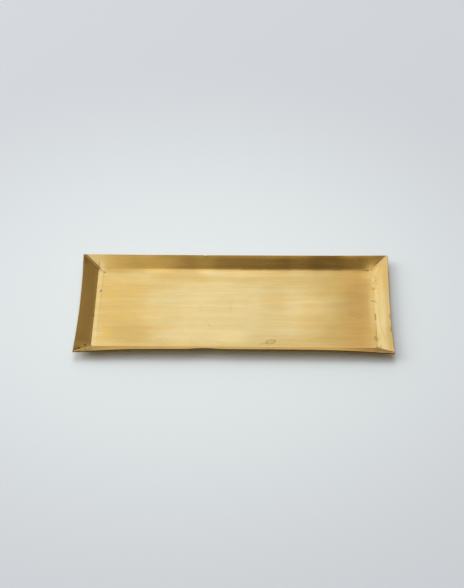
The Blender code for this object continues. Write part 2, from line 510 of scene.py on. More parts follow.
def seam_outline(side_x, side_y, side_width, end_width, shrink, fillet):
    """The outline of a seam in one level cut: a filed cap inside, a web and a proud bead outside."""
    side_normal = Vector((0, -side_y * CORNER_RISE, SIDE_CORNER_RUN)).normalized()
    end_normal = Vector((-side_x * CORNER_RISE, 0, END_CORNER_RUN)).normalized()
    inward = (side_normal + end_normal).normalized()
    side_slant = math.sqrt(1 - (MITRE.x / MITRE.length) ** 2)
    end_slant = math.sqrt(1 - (MITRE.y / MITRE.length) ** 2)
    side_face = (-side_x * X / side_slant, side_normal, side_width)
    end_face = (-side_y * Y / end_slant, end_normal, end_width)

    def face_curve(depth, bulge, proud, least=0):
        """From the side wall to the end wall, over the mitre, at a depth below the inner face."""
        curve = []
        for step in range(-SEAM_CURVE_STEPS, SEAM_CURVE_STEPS + 1):
            share = abs(step) / SEAM_CURVE_STEPS
            into, normal, width = side_face if step < 0 else end_face
            point = into * max(width * shrink, least) * share
            point += normal * (proud * (1 - share ** 6) - depth) + inward * bulge * (1 - share) ** 2
            curve.append(point)
        return curve

    def web(into, normal, width):
        """Two points on one side of the web, from its top down."""
        place = into * min(SEAM_WEB, width) * shrink
        insets = (SEAM_WEB_INSET, 1 - SEAM_WEB_INSET)
        return [place - normal * THICKNESS * inset for inset in insets]

    inside = face_curve(SEAM_SUNK, fillet, SEAM_PROUD + SEAM_SUNK)
    corner_depth = THICKNESS / inward.dot(side_normal) - THICKNESS
    outside = face_curve(
        THICKNESS - SEAM_SUNK, -SEAM_CROWN - corner_depth, -SEAM_PROUD - SEAM_SUNK, SEAM_BEAD
    )
    return inside, web(*end_face) + outside[::-1] + web(*side_face)[::-1]


def seam_width_share(share, along, side_x, side_y):
    """How much of its width a seam has at a place: it waves, and narrows at its foot and tip."""
    wave = 1 + SEAM_WAVE * noise.noise(Vector((along / SEAM_WAVE_LENGTH, side_x * 5, side_y * 9)))
    tip = 1 - SEAM_TIP_LOSS * max(0, (share - SEAM_TIP_START) / (1 - SEAM_TIP_START)) ** 2
    foot = SEAM_FOOT_SHARE + (1 - SEAM_FOOT_SHARE) * min(1, share / SEAM_FOOT_END)
    return wave * tip * foot


def seam_faces(count):
    """The faces between a seam's level cuts of count points each, and its two ends."""
    faces = []
    for step in range(SEAM_STEPS):
        start = step * count
        for index in range(count):
            after = (index + 1) % count
            faces.append((start + index, start + after, start + count + after, start + count + index))
    faces.append(tuple(range(count)))
    faces.append(tuple(range(SEAM_STEPS * count, (SEAM_STEPS + 1) * count)))
    return faces


def make_seam(name, side_x, side_y, side_width, end_width, material, fillet=SEAM_FILLET):
    """One brazed seam, from a thin foot on the floor's corner to the blunt tip of the rim."""
    mitre = Vector((side_x * MITRE.x, side_y * MITRE.y, MITRE.z)).normalized()
    corner = Vector((side_x * FLOOR_X, side_y * FLOOR_Y, THICKNESS))
    length = MITRE.length - EDGE_ROUNDING
    narrow = 1 if side_width > end_width else -1
    points = []
    across = []
    for step in range(SEAM_STEPS + 1):
        share = step / SEAM_STEPS
        along = -SEAM_FOOT + (length + SEAM_FOOT) * share
        shrink = seam_width_share(share, along, side_x, side_y)
        filled = SEAM_FILLET + (fillet - SEAM_FILLET) * (1 - share ** 3)
        inside, outside = seam_outline(side_x, side_y, side_width, end_width, shrink, filled)
        for outline, lowest in ((inside, THICKNESS + SEAM_PROUD), (outside, 0)):
            for place in outline:
                point = corner + mitre * along + place
                point.z = max(point.z, lowest)
                points.append(point)
        across += [narrow * (2 * index / (len(inside) - 1) - 1) for index in range(len(inside))]
        across += [1] * len(outside)

    points = np.array(points)
    faces = seam_faces(len(inside) + len(outside))
    mesh = bpy.data.meshes.new(name)
    mesh.from_pydata(hand_work(points).tolist(), [], faces)
    tidy_normals(mesh)
    mesh.shade_smooth()
    mesh.set_sharp_from_angle(angle=SEAM_SHARP_ANGLE)
    store(mesh, "across", across)
    store_brush_map(mesh, points)
    add_piece(name + "_seam", mesh, material, name + "_braze")


def tidy_normals(mesh):
    """Turns every face of a closed mesh outwards."""
    shape = bmesh.new()
    shape.from_mesh(mesh)
    bmesh.ops.recalc_face_normals(shape, faces=shape.faces)
    shape.to_mesh(mesh)
    shape.free()


# Materials


class Graph:
    """Builds a node tree; each call adds a node and gives back its output."""

    def __init__(self, tree):
        self.tree = tree
        tree.nodes.clear()

    def node(self, kind, sockets=(), output=0, **settings):
        """sockets maps an input's name or number to a value or to another node's output."""
        made = self.tree.nodes.new(kind)
        for name, value in settings.items():
            setattr(made, name, value)
        for key, value in dict(sockets).items():
            if isinstance(value, bpy.types.NodeSocket):
                self.tree.links.new(value, made.inputs[key])
            else:
                made.inputs[key].default_value = value
        return made.outputs[output] if made.outputs else None

    def math(self, operation, first, second=0):
        return self.node("ShaderNodeMath", {0: first, 1: second}, operation=operation)

    plus = partialmethod(math, "ADD")
    minus = partialmethod(math, "SUBTRACT")
    times = partialmethod(math, "MULTIPLY")
    larger = partialmethod(math, "MAXIMUM")

    def gap(self, value, target):
        """How far a value is from its target, either way."""
        return self.math("ABSOLUTE", self.minus(value, target))

    def clamp(self, value):
        """The value, kept between 0 and 1."""
        return self.node("ShaderNodeClamp", {"Value": value})

    def split(self, vector):
        """The three parts of a vector."""
        return [self.node("ShaderNodeSeparateXYZ", {0: vector}, part) for part in "XYZ"]

    def vector(self, operation, first, second=(0, 0, 0), output="Vector"):
        return self.node("ShaderNodeVectorMath", {0: first, 1: second}, output, operation=operation)

    dot = partialmethod(vector, "DOT_PRODUCT", output="Value")
    length = partialmethod(vector, "LENGTH", output="Value")

    def scale(self, vector, factor):
        return self.node("ShaderNodeVectorMath", {0: vector, "Scale": factor}, operation="SCALE")

    def ramp(self, value, start, end, low=0, high=1):
        """low up to start, high from end, and a smooth rise between them."""
        return self.node(
            "ShaderNodeMapRange",
            {"Value": value, "From Min": start, "From Max": end, "To Min": low, "To Max": high},
            interpolation_type="SMOOTHSTEP",
        )

    def noise(self, vector, detail=2):
        sockets = {"Vector": vector, "Scale": 1, "Detail": detail}
        return self.node("ShaderNodeTexNoise", sockets, "Fac")

    def mix(self, share, first, second, blend="MIX"):
        sockets = {0: share, 6: first, 7: second}
        return self.node("ShaderNodeMix", sockets, 2, data_type="RGBA", blend_type=blend)

    def attribute(self, name):
        return self.node("ShaderNodeAttribute", output="Fac", attribute_name=name)

    def place(self):
        """The point of the object, in millimetres."""
        return self.scale(self.node("ShaderNodeTexCoord", output="Object"), 1 / MM)

    def streaks(self, place, length, width, shift=0, detail=2):
        """Noise drawn out along X, in streaks about length by width, in millimetres."""
        moved = self.vector("ADD", place, (shift * 37, shift * 11, shift * 23))
        return self.noise(self.vector("MULTIPLY", moved, (1 / length, 1 / width, 1 / width)), detail)

    def blotches(self, place, size, shift=0, detail=2):
        moved = self.vector("ADD", place, (shift * 17, shift * 29, shift * 13))
        return self.noise(self.scale(moved, 1 / size), detail)

    def segment(self, place, start, end, half_width, softness):
        """1 near the straight line from start to end, falling to 0 around it."""
        start, end = Vector(start), Vector(end)
        span = end - start
        offset = self.vector("SUBTRACT", place, tuple(start))
        if span.length:
            way = self.clamp(self.dot(offset, tuple(span / span.length_squared)))
            offset = self.vector("SUBTRACT", offset, self.scale(tuple(span), way))
        return self.ramp(self.length(offset), half_width, half_width + softness, 1, 0)

    def patch(self, place, centre_x, centre_y, reach_x, reach_y):
        """A soft oval seen from above: 1 in its middle, 0 a little outside its reach."""
        offset = self.vector("SUBTRACT", place, (centre_x, centre_y, 0))
        offset = self.vector("MULTIPLY", offset, (1 / reach_x, 1 / reach_y, 0))
        return self.ramp(self.length(offset), PATCH_FULL, PATCH_END, 1, 0)

    def patches(self, place, patches, total):
        """total, and at each listed patch as much more or less as the list says."""
        for *oval, change in patches:
            total = self.plus(total, self.times(self.patch(place, *oval), change))
        return total

    def jittered(self, place):
        """The same place, moved about by fine noise, to break up the edges of a mark."""
        sockets = {"Vector": place, "Scale": JITTER_FINENESS, "Detail": 3}
        jitter = self.node("ShaderNodeTexNoise", sockets, "Color")
        jitter = self.vector("SUBTRACT", jitter, (0.5, 0.5, 0.5))
        return self.vector("ADD", place, self.scale(jitter, JITTER_REACH))

    def marks(self, place, marks):
        """How strongly the strongest of the listed marks shows at a place."""
        total = 0
        for start, end, half_width, softness, strength in marks:
            mark = self.segment(place, start, end, half_width, softness)
            total = self.larger(self.times(mark, strength), total)
        return total

    def ring(self, place, centre, half_sizes, angle):
        """The distance from centre, where 1 is an oval with these half sizes, turned by angle."""
        offset = self.vector("SUBTRACT", place, centre)
        way = Vector((math.cos(angle), math.sin(angle), 0))
        aside = Vector((-math.sin(angle), math.cos(angle), 0))
        u = self.dot(offset, tuple(way / half_sizes[0]))
        v = self.dot(offset, tuple(aside / half_sizes[1]))
        return self.length(self.node("ShaderNodeCombineXYZ", {0: u, 1: v}))


def new_material(name):
    material = bpy.data.materials.new(name)
    material.use_nodes = True
    return material, Graph(material.node_tree)


def rgb(red, green, blue):
    return (red, green, blue, 1)


WORN_BRASS = rgb(0.85, 0.675, 0.325)
GOLD_BRASS = rgb(0.77, 0.54, 0.188)
WALL_BRASS = rgb(0.865, 0.565, 0.16)
PALE_BRASS = rgb(0.8, 0.635, 0.28)
LEFT_BRASS = rgb(0.74, 0.58, 0.26)
DULL_BRASS = rgb(0.79, 0.502, 0.162)
# the front wall's brass and its ends' brass are darker copies: painted shade
FRONT_SHADED_BRASS = rgb(0.655, 0.49, 0.19)
FRONT_END_SHADED_BRASS = rgb(0.36, 0.25, 0.085)
FILM_BRASS = rgb(0.8, 0.53, 0.125)
# pale fresh metal, also used for painted highlights
FRESH_AND_HIGHLIGHT_BRASS = rgb(0.93, 0.74, 0.36)
# the cut edge's brown, partly oxide and partly painted shade
EDGE_BROWN_AND_SHADE_BRASS = rgb(0.44, 0.27, 0.09)
UNDER_BRASS = rgb(0.62, 0.37, 0.07)
DROP_BRASS = rgb(0.48, 0.29, 0.08)
SCORCHED_BRASS = rgb(0.22, 0.105, 0.035)
BURNT_BRASS = rgb(0.34, 0.165, 0.055)
HEATED_BRASS = rgb(0.52, 0.29, 0.11)
RED_OXIDE = rgb(0.2, 0.062, 0.035)
MAUVE_TINT = rgb(0.46, 0.27, 0.19)
GREENISH_STREAK = rgb(0.99, 1, 0.988)
PINKISH_STREAK = rgb(1.01, 0.995, 1)
FILED_LEFT = rgb(0.79, 0.59, 0.235)
FILED_RIGHT = rgb(0.7, 0.51, 0.195)
# the front seams' filed brass is darker: painted shade, as on the front wall
FILED_FRONT_SHADED = rgb(0.5, 0.36, 0.125)
TABLE_LIT_NEAR = rgb(0.742, 0.804, 0.834)
TABLE_DIMMER_FAR = rgb(0.605, 0.645, 0.697)

# Light from the room
REAR_WINDOW = rgb(1.1, 1.1, 1.11)
FRONT_WINDOW = rgb(0.9, 0.88, 0.86)
REAR_DIM = rgb(0.325, 0.247, 0.14)
FRONT_DIM = rgb(0.2, 0.157, 0.1)
OVERHEAD_LEFT = rgb(1, 1, 1)
OVERHEAD_RIGHT = rgb(0.4, 0.39, 0.37)
LOW_FRONT_DARK = rgb(0.012, 0.01, 0.006)
LOW_FRONT_WARM = rgb(0.17, 0.125, 0.05)
BACKDROP = rgb(0.7, 0.73, 0.76)

# The brushing: length and width of the streaks in millimetres, shift of their noise, detail
STREAKS = {
    "broad": (120, 11, 1, 2),
    "patchy": (26, 8, 5, 1),
    "medium": (60, 3.2, 2, 2),
    "tinted": (90, 5, 3, 2),
    "fine": (38, 0.42, 4, 3),
}
CLOUD_SIZE = 26
SHEET_ANISOTROPY = 0.5
SHEET_BUMP = 0.35
SHEET_BUMP_DEPTH = 0.02 * MM

# The brazing
SEAM_GRAIN = 0.35
SEAM_STAIN_SIZE = 2.6
# Where the rear left seam's brown line lies, from -1 at the far end of the cap to 1
SEAM_LINE = -0.66
SEAM_ANISOTROPY = 0.3
SEAM_BUMP = 0.4
SEAM_BUMP_DEPTH = 0.03 * MM

# How the floor changes from its worn middle to its edges, along X or Y: start and end in
# millimetres, and the share of gold or dullness at each
GOLD_ALONG_X = ((-58, -106, 0, 0.85), (42, 112, 0, 1))
GOLD_ALONG_Y = ((15, 42, 0, 0.55), (-24, -44, 0, 0.25))
LEFT_FOLD_GOLD = (-132, -127.5, 0.55, 1)
RIGHT_DULL = (92, 118, 0, 0.85)
RIGHT_FOLD_DULL = (126, 134, 1, 0.2)
# The same for the long walls and the cut edge
REAR_PALE_END = (-116, -140, 0, 0.7)
REAR_FOLD = (45.4, 47.4)
# Where the front wall's painted shade darkens it towards its ends, in millimetres
FRONT_MIDDLE = -8
FRONT_SHADED_ENDS = (95, 142)
RIGHT_BROWN_EDGE = (132, 144, 0.1, 0.5)
# off the rear wall the cut edge is browner: brown oxide, and painted shade
FRONT_BROWN_AND_SHADED_EDGE = (56, 50, 0, 0.85)

# Soft ovals: how much of their reach is full, and where they end
PATCH_FULL = 0.2
PATCH_END = 1.4
# How far noise moves the edges of marks, in millimetres, and its waves per millimetre
JITTER_REACH = 1.2
JITTER_FINENESS = 0.9

# Marks on the sheet, in millimetres: start, end, half width, softness, strength
SCRATCHES = (
    ((-5.1, 5.3, 1), (-2.2, -8.2, 1), 0.05, 0.4, 0.26),
    ((-27.2, -16.6, 1), (-22.2, -24.2, 1), 0.05, 0.4, 0.34),
    ((-32.9, 1.4, 1), (-32.7, -6, 1), 0.05, 0.4, 0.18),
    ((138.3, -2.8, 3.1), (139.5, -24, 3.7), 0.1, 0.6, 0.16),
    ((139.5, -24, 3.7), (142.8, -42.9, 5.7), 0.1, 0.6, 0.18),
    ((-134.5, 53.3, 4.6), (-134.7, 49.9, 2.3), 0.25, 0.5, 0.5),
    ((-134.3, 48.6, 1.7), (-129.8, 44.1, 1), 0.25, 0.6, 0.3),
    ((-129.5, 45, 1), (-129.6, 8, 1), 0.05, 0.4, 0.36),
    ((-129.6, 8, 1), (-130.2, -30, 1), 0.05, 0.4, 0.32),
    ((-130.2, -30, 1), (-130.4, -44, 1), 0.05, 0.35, 0.2),
)
SPOTS = (
    ((-129.4, 43.7, 1), (-128.3, 43.1, 1), 0.4, 0.5, 0.85),
    ((-131, 19.2, 1), (-130.2, 20.2, 1), 0.4, 0.6, 0.85),
    ((-135.5, -10.6, 1.2), (-135.1, -11.6, 1.2), 0.4, 0.7, 0.75),
    ((-40.1, -41.1, 1), (-40.1, -41.1, 1), 0.3, 0.6, 0.4),
    ((-69.5, -39.6, 1), (-69.5, -39.6, 1), 0.3, 0.6, 0.4),
    ((67.8, 18.3, 1), (69, 18, 1), 0.2, 0.6, 0.25),
    ((-146.8, 54.4, 9.6), (-146.2, 53, 9.4), 0.6, 1.2, 0.5),
    ((-145, 50.3, 8.4), (-145, 50.3, 8.4), 0.4, 1, 0.4),
    ((-140, -48.6, 3.7), (-140, -48.6, 3.7), 0.7, 0.8, 0.8),
    ((-144.9, -54.2, 6.3), (-144.9, -54.2, 6.3), 0.6, 0.8, 0.8),
    ((-146.8, -57.3, 7.3), (-146.8, -57.3, 7.3), 0.8, 1, 0.8),
    ((138.3, -47.8, 3.1), (138.3, -47.8, 3.1), 0.5, 0.8, 0.5),
    ((147.6, -14, 8.6), (148.2, -19, 9), 0.4, 1, 0.4),
    ((148.2, -29, 8.9), (148.4, -34.5, 8.9), 0.4, 1, 0.4),
)
RED_LINES = (
    ((124.7, 46.9, 1.4), (129, 46.9, 1.4), 0.2, 0.5, 0.5),
    ((128.6, 46.9, 1.4), (131.1, 46.9, 1.4), 0.35, 0.45, 0.95),
    ((135.6, -51.4, 3.4), (137.6, -52.5, 4), 0.8, 0.6, 1),
    ((137.4, -52.4, 4), (148.4, -58, 7.8), 0.45, 0.6, 0.9),
    ((134.5, 24.6, 1.1), (135, 23, 1.1), 0.4, 0.9, 0.35),
    ((132.4, 8.6, 1.1), (135.6, 7.4, 1.1), 0.4, 0.9, 0.45),
    ((135.1, -7.3, 1.2), (135.2, -14.5, 1.2), 0.3, 0.6, 0.6),
    ((135.2, -19, 1.2), (135.3, -45.7, 1.2), 0.2, 0.7, 0.35),
    ((134.2, -36, 1.2), (135.4, -38.5, 1.2), 0.9, 1.6, 0.38),
)
# Broad tones, in millimetres: centre, reach, and how much lighter or darker. Many are painted light:
# painted reflections in bands along the rear wall, a painted highlight along its rim and by the front
# left corner, and painted shade along the rear wall's foot, the front wall's rim and the front fold.
TONES = (
    (-110, 56, 24, 14, -0.18), (48, 56, 9, 14, -0.1),
    (80, 56, 8, 14, -0.07), (113, 56, 9, 14, 0.14),
    (120, 50, 18, 5, -0.2), (-144, 40, 10, 24, -0.07),
    (-74, 56, 19, 14, 0.22), (-29, 56, 11, 14, 0.25),
    (63, 56, 9, 14, 0.08), (92, 56, 36, 14, -0.17),
    (134, 49, 6, 3.5, 0.3), (-141, -50, 8, 5, 0.22),
    (-112, 0, 34, 60, -0.03), (-98, -33, 28, 12, -0.11),
    (-64, 5, 14, 50, -0.035), (149, -42, 14, 24, -0.1),
    (-143, -43, 8, 6, -0.08), (133, 4, 4.5, 50, 0.11),
    (72, -4, 22, 18, 0.09), (118, 6, 20, 30, -0.07),
    (118, 16, 13, 19, -0.06), (128, 41, 6, 6, 0.11),
    (128, -34, 7, 9, 0.05), (-2, -36, 20, 8, 0.08),
    (60, -4, 40, 40, 0.02), (148, 0, 4, 60, -0.07),
    (-147, 0, 3, 60, 0.04), (30, 59, 62, 3.5, 0.12),
    (120, 58, 17, 6, 0.17), (133, 58, 7, 6, 0.12),
    (70, 42, 70, 5, 0.05), (75, 49.3, 60, 2.6, -0.27),
    (-10, 49.3, 50, 2.6, -0.12), (75, 53, 50, 5, -0.06),
    (0, 42, 48, 5.5, 0.09), (0, -58, 110, 3.2, -0.26),
    (-20, -56, 36, 4, -0.08), (-10, -47, 90, 3, -0.07),
    (-80, -43, 24, 5, -0.06),
)
# Where the brass is more golden or paler, in millimetres: centre, reach, change
GOLD_PATCHES = (
    (-96, -34, 28, 12, 0.45), (-94, 22, 16, 10, 0.15),
    (-64, 5, 15, 50, 0.2), (-2, -36, 18, 8, -0.45),
    (37, 8, 18, 20, 0.25), (62, 26, 14, 9, 0.2),
    (90, -34, 16, 10, 0.25), (133, 4, 5, 50, -0.4),
    (128, 41, 6, 6, -0.3), (144, 42, 14, 26, 0.4),
    (147, -44, 12, 18, 0.25), (0, 42, 48, 6, -0.45),
    (-74, 30, 14, 14, 0.3), (42, 20, 24, 24, 0.25),
    (-46, -12, 14, 14, 0.25), (-50, -43, 50, 5, 0.25),
    (60, -43, 36, 5, 0.25), (132, 42, 6, 6, -0.35),
)
# Filed marks, and painted highlights along the right fold and on the left wall by the front left corner
FILED_AND_HIGHLIGHT_MARKS = (
    ((134.2, 26, 1.2), (134.2, 47, 1.2), 0.3, 0.6, 0.7),
    ((-132.6, 53, 4.4), (-130.8, 50.2, 2.6), 0.5, 3.5, 0.35),
    ((-131, 49, 1.8), (-129, 46.5, 1.2), 0.5, 3.5, 0.25),
    ((-141.5, -51, 4.4), (-135.8, -47.4, 1.6), 1, 1.8, 0.95),
    ((131.6, 47, 1.2), (134.2, 46.4, 1.2), 0.4, 0.8, 0.5),
)
MAUVE_MARKS = (
    ((-146.8, 55, 9.6), (-145.8, 50.5, 8.9), 1.2, 2.2, 0.65),
    ((-147.5, -57.6, 7.4), (-146, -57, 7), 0.8, 1.4, 0.7),
)
# Yellow film by the left end, in millimetres: centre and reach
FILM_PATCHES = (
    (-121, 12, 9, 9), (-97, 18.5, 12, 4),
    (-108, -10, 16, 5), (-122, -30, 6, 9),
    (-125, -40, 5, 4),
)
FILM_STRENGTH = 0.7
FILM_GRAIN = 5
# A dried drop with a tail, and a faint ring: centre, half sizes, turn
DROP_RING = ((34.9, -41.6, 1), (4.3, 2.2), math.radians(17))
DROP_TAIL = ((30.6, -42.8, 1), (25.5, -44, 1), 0.2, 1.4)
FAINT_RING = ((116.5, -9, 1), (5.5, 2.6), math.radians(-20))
# Lines in the folds: start, end, half width, softness
DIRTY_FOLD = ((-5, 47.3, 1.1), (112, 47.3, 1.1), 0.2, 0.5)
DIRT_STREAKS = (9, 3)
BRUISED_FOLD = ((136.4, 40, 1.8), (135.4, 6, 1.8), 0.8, 3.6)
BRUISE_BUMP = 10
FLECK_SIZE = 2.2
HEAT_GRAIN = 1.6


Spot = namedtuple("Spot", "place x y side_wall end_wall wall left_wall right_wall")


def find_spot(graph):
    """Where a point of the sheet is, and how far up each kind of wall it lies."""
    place = graph.place()
    x, y, _ = graph.split(place)
    side_wall = graph.attribute("side_wall")
    end_wall = graph.attribute("end_wall")
    wall = graph.larger(side_wall, end_wall)
    on_end_wall = graph.ramp(end_wall, 0, 0.15)
    left_wall = graph.times(on_end_wall, graph.ramp(x, 1, -1))
    right_wall = graph.times(on_end_wall, graph.ramp(x, -1, 1))
    return Spot(place, x, y, side_wall, end_wall, wall, left_wall, right_wall)


def brushing(graph, at):
    """Streaks along X, but along Y on the end walls, which were brushed that way."""
    x, y, z = graph.split(at.place)
    swapped = graph.node("ShaderNodeCombineXYZ", {0: y, 1: x, 2: z})
    turned = graph.ramp(at.end_wall, 0, 0.01)
    sockets = {0: turned, 4: at.place, 5: swapped}
    grain = graph.node("ShaderNodeMix", sockets, 1, data_type="VECTOR")
    return {name: graph.streaks(grain, *sizes) for name, sizes in STREAKS.items()}


def golden_share(graph, at, streaks):
    """How golden the brass is: little in the worn middle of the floor, more by its edges."""
    gold = 0
    for along, spans in ((at.x, GOLD_ALONG_X), (at.y, GOLD_ALONG_Y)):
        for span in spans:
            gold = graph.larger(gold, graph.ramp(along, *span))
    gold = graph.times(gold, graph.ramp(at.end_wall, 0, 0.2, 1, 0.25))
    gold = graph.times(gold, graph.ramp(at.x, *LEFT_FOLD_GOLD))
    gold = graph.patches(at.place, GOLD_PATCHES, gold)
    rim = graph.ramp(at.end_wall, 0.45, 0.95, 0, 0.55)
    gold = graph.plus(gold, graph.times(rim, graph.ramp(at.x, -1, 1)))
    gold = graph.plus(gold, graph.ramp(graph.blotches(at.place, CLOUD_SIZE, 1), 0.3, 0.7, -0.15, 0.15))
    gold = graph.plus(gold, graph.ramp(streaks["broad"], 0.3, 0.7, -0.2, 0.2))
    return graph.clamp(gold)


def brass_colour(graph, at, gold):
    """The plain brass of the floor, the long walls and the left wall, with the front wall's made darker,
    most of all towards its ends, as painted shade.
    """
    floor = graph.mix(gold, WORN_BRASS, GOLD_BRASS)
    dull = graph.times(graph.ramp(at.x, *RIGHT_DULL), graph.ramp(at.x, *RIGHT_FOLD_DULL))
    dull = graph.times(dull, graph.ramp(at.end_wall, 0, 0.1, 1, 0))
    floor = graph.mix(dull, floor, DULL_BRASS)
    # painted shade: the front wall darker towards its ends
    shaded_ends = graph.ramp(graph.gap(at.x, FRONT_MIDDLE), *FRONT_SHADED_ENDS)
    front = graph.mix(shaded_ends, FRONT_SHADED_BRASS, FRONT_END_SHADED_BRASS)
    rear = graph.mix(graph.ramp(at.x, *REAR_PALE_END), WALL_BRASS, PALE_BRASS)
    side = graph.mix(graph.ramp(at.y, -1, 1), front, rear)
    off_end_wall = graph.ramp(at.end_wall, 0, 0.05, 1, 0)
    rear_fold = graph.times(graph.ramp(at.y, *REAR_FOLD), off_end_wall)
    on_side = graph.larger(graph.ramp(at.side_wall, 0, 0.06), rear_fold)
    return graph.mix(at.left_wall, graph.mix(on_side, floor, side), LEFT_BRASS)


def shading(graph, at, streaks):
    """How much lighter or darker than plain the brass is: broad tones, some of them painted light and
    shade, the brushing's streaks, painted shade up the right wall and a painted highlight at the left
    wall's foot.
    """
    shade = graph.patches(at.place, TONES, 1)
    # the walls' streaks are fainter than the floor's
    faint = graph.ramp(at.wall, 0, 0.3, 1, 0.35)
    medium = graph.plus(graph.times(graph.minus(streaks["medium"], 0.5), faint), 0.5)
    shade = graph.times(shade, graph.ramp(medium, 0.3, 0.7, 0.97, 1.025))
    shade = graph.times(shade, graph.ramp(streaks["patchy"], 0.3, 0.7, 0.978, 1.022))
    shade = graph.times(shade, graph.ramp(streaks["fine"], 0.25, 0.75, 0.97, 1.03))
    # painted shade on the right wall, deeper towards its rim, and a painted highlight on the left wall
    # just above its fold
    right_shade = graph.ramp(at.end_wall, 0.35, 0.95, 0.05, 0.13)
    shade = graph.times(shade, graph.minus(1, graph.times(at.right_wall, right_shade)))
    left_foot_highlight = graph.ramp(at.end_wall, 0.28, 0.05, 0, 0.15)
    return graph.plus(shade, graph.times(at.left_wall, left_foot_highlight))


def yellow_film(graph, place):
    film = 0
    for oval in FILM_PATCHES:
        film = graph.larger(graph.patch(place, *oval), film)
    ragged = graph.ramp(graph.blotches(place, FILM_GRAIN, 2, detail=4), 0.35, 0.6)
    return graph.times(film, graph.times(ragged, FILM_STRENGTH))


def dried_drops(graph, place):
    """A dried drop with an outline and a tail, and a faint ring."""
    ring = graph.ring(place, *DROP_RING)
    outline = graph.ramp(graph.gap(ring, 1), 0.05, 0.28, 0.9, 0)
    drop = graph.larger(graph.ramp(ring, 1, 0.9, 0, 0.22), outline)
    drop = graph.larger(drop, graph.times(graph.segment(place, *DROP_TAIL), 0.32))
    faint = graph.ring(place, *FAINT_RING)
    return graph.larger(drop, graph.ramp(graph.gap(faint, 1), 0.05, 0.35, 0.2, 0))


def heat_stains(graph, place):
    """The browning by the brazed corners, made uneven."""
    uneven = graph.ramp(graph.blotches(place, HEAT_GRAIN, 3, detail=4), 0.3, 0.7, 0.55, 1.15)
    return graph.clamp(graph.times(graph.attribute("scorch"), uneven))


def pits_and_dirt(graph, place, rough_place):
    """Scratches, spots and a dirty line in the rear fold."""
    pits = graph.marks(rough_place, SCRATCHES + SPOTS)
    dirt = graph.ramp(graph.streaks(place, *DIRT_STREAKS, 6, detail=3), 0.42, 0.62, 0, 0.7)
    return graph.larger(pits, graph.times(graph.segment(place, *DIRTY_FOLD), dirt))


def add_flecks(graph, colour, bruised, flecks):
    """Dark flecks on the bruised fold, and bright ones that are painted glints."""
    dark = graph.times(bruised, graph.ramp(flecks, 0.45, 0.36, 0, 0.5))
    # the bright flecks are painted glints
    bright = graph.times(bruised, graph.ramp(flecks, 0.55, 0.66, 0, 0.8))
    return graph.mix(bright, graph.mix(dark, colour, DROP_BRASS), FRESH_AND_HIGHLIGHT_BRASS)


def add_edge_and_underside(graph, at, colour):
    """A browner cut edge, partly brown oxide and partly painted shade, and a dull underside."""
    share = graph.larger(graph.ramp(at.x, *RIGHT_BROWN_EDGE), graph.ramp(at.y, *FRONT_BROWN_AND_SHADED_EDGE))
    at_rim = graph.ramp(graph.attribute("rim"), 0.86, 1)
    colour = graph.mix(graph.times(at_rim, share), colour, EDGE_BROWN_AND_SHADE_BRASS)
    upwards = graph.split(graph.node("ShaderNodeTexCoord", output="Normal"))[2]
    return graph.mix(graph.ramp(upwards, 0.05, -0.15), colour, UNDER_BRASS)


def finish_brass(graph, colour, roughness, anisotropy, height, bump, bump_depth):
    """Ends a material as brushed metal, with its highlights drawn out across the brushing."""
    bumps = graph.node("ShaderNodeBump", {"Height": height, "Strength": bump, "Distance": bump_depth})
    tangent = graph.node("ShaderNodeTangent", direction_type="UV_MAP", uv_map="brushing")
    shader = graph.node("ShaderNodeBsdfPrincipled", {
        "Base Color": colour,
        "Metallic": 1,
        "Roughness": roughness,
        "Anisotropic": anisotropy,
        "Normal": bumps,
        "Tangent": tangent,
    })
    graph.node("ShaderNodeOutputMaterial", {"Surface": shader})


def sheet_material():
    """Brushed brass: drawn-out streaks, a paler worn middle, yellow film, brown heat stains, and painted
    light and shade.
    """
    material, graph = new_material("brushed_brass")
    at = find_spot(graph)
    streaks = brushing(graph, at)
    place = at.place
    rough_place = graph.jittered(place)

    colour = brass_colour(graph, at, golden_share(graph, at, streaks))
    tint = graph.mix(graph.ramp(streaks["tinted"], 0.35, 0.65), GREENISH_STREAK, PINKISH_STREAK)
    colour = graph.mix(1, colour, tint, "MULTIPLY")
    colour = graph.mix(1, colour, shading(graph, at, streaks), "MULTIPLY")
    colour = graph.mix(yellow_film(graph, place), colour, FILM_BRASS)
    # pale marks are filed metal and painted highlights
    for marks, tint in ((FILED_AND_HIGHLIGHT_MARKS, FRESH_AND_HIGHLIGHT_BRASS), (MAUVE_MARKS, MAUVE_TINT)):
        colour = graph.mix(graph.marks(rough_place, marks), colour, tint)
    colour = graph.mix(dried_drops(graph, rough_place), colour, DROP_BRASS)
    bruised = graph.segment(place, *BRUISED_FOLD)
    flecks = graph.blotches(place, FLECK_SIZE, 7, detail=3)
    colour = add_flecks(graph, colour, bruised, flecks)
    heat = heat_stains(graph, place)
    pits = pits_and_dirt(graph, place, rough_place)
    red = graph.marks(rough_place, RED_LINES)
    for share, tint in ((heat, HEATED_BRASS), (pits, SCORCHED_BRASS), (red, RED_OXIDE)):
        colour = graph.mix(share, colour, tint)
    colour = add_edge_and_underside(graph, at, colour)

    # stains are rougher and sunk a little, and the walls are smoother than the floor
    brown = graph.larger(heat, pits)
    roughness = graph.ramp(streaks["fine"], 0.25, 0.75, 0.25, 0.33)
    roughness = graph.plus(roughness, graph.times(brown, 0.2))
    roughness = graph.minus(roughness, graph.times(at.wall, 0.09))
    height = graph.minus(streaks["fine"], graph.times(graph.larger(brown, red), 1.5))
    height = graph.times(height, graph.ramp(at.wall, 0, 0.3, 1, 0.45))
    height = graph.plus(height, graph.times(graph.times(bruised, flecks), BRUISE_BUMP))
    finish_brass(graph, colour, roughness, SHEET_ANISOTROPY, height, SHEET_BUMP, SHEET_BUMP_DEPTH)
    return material


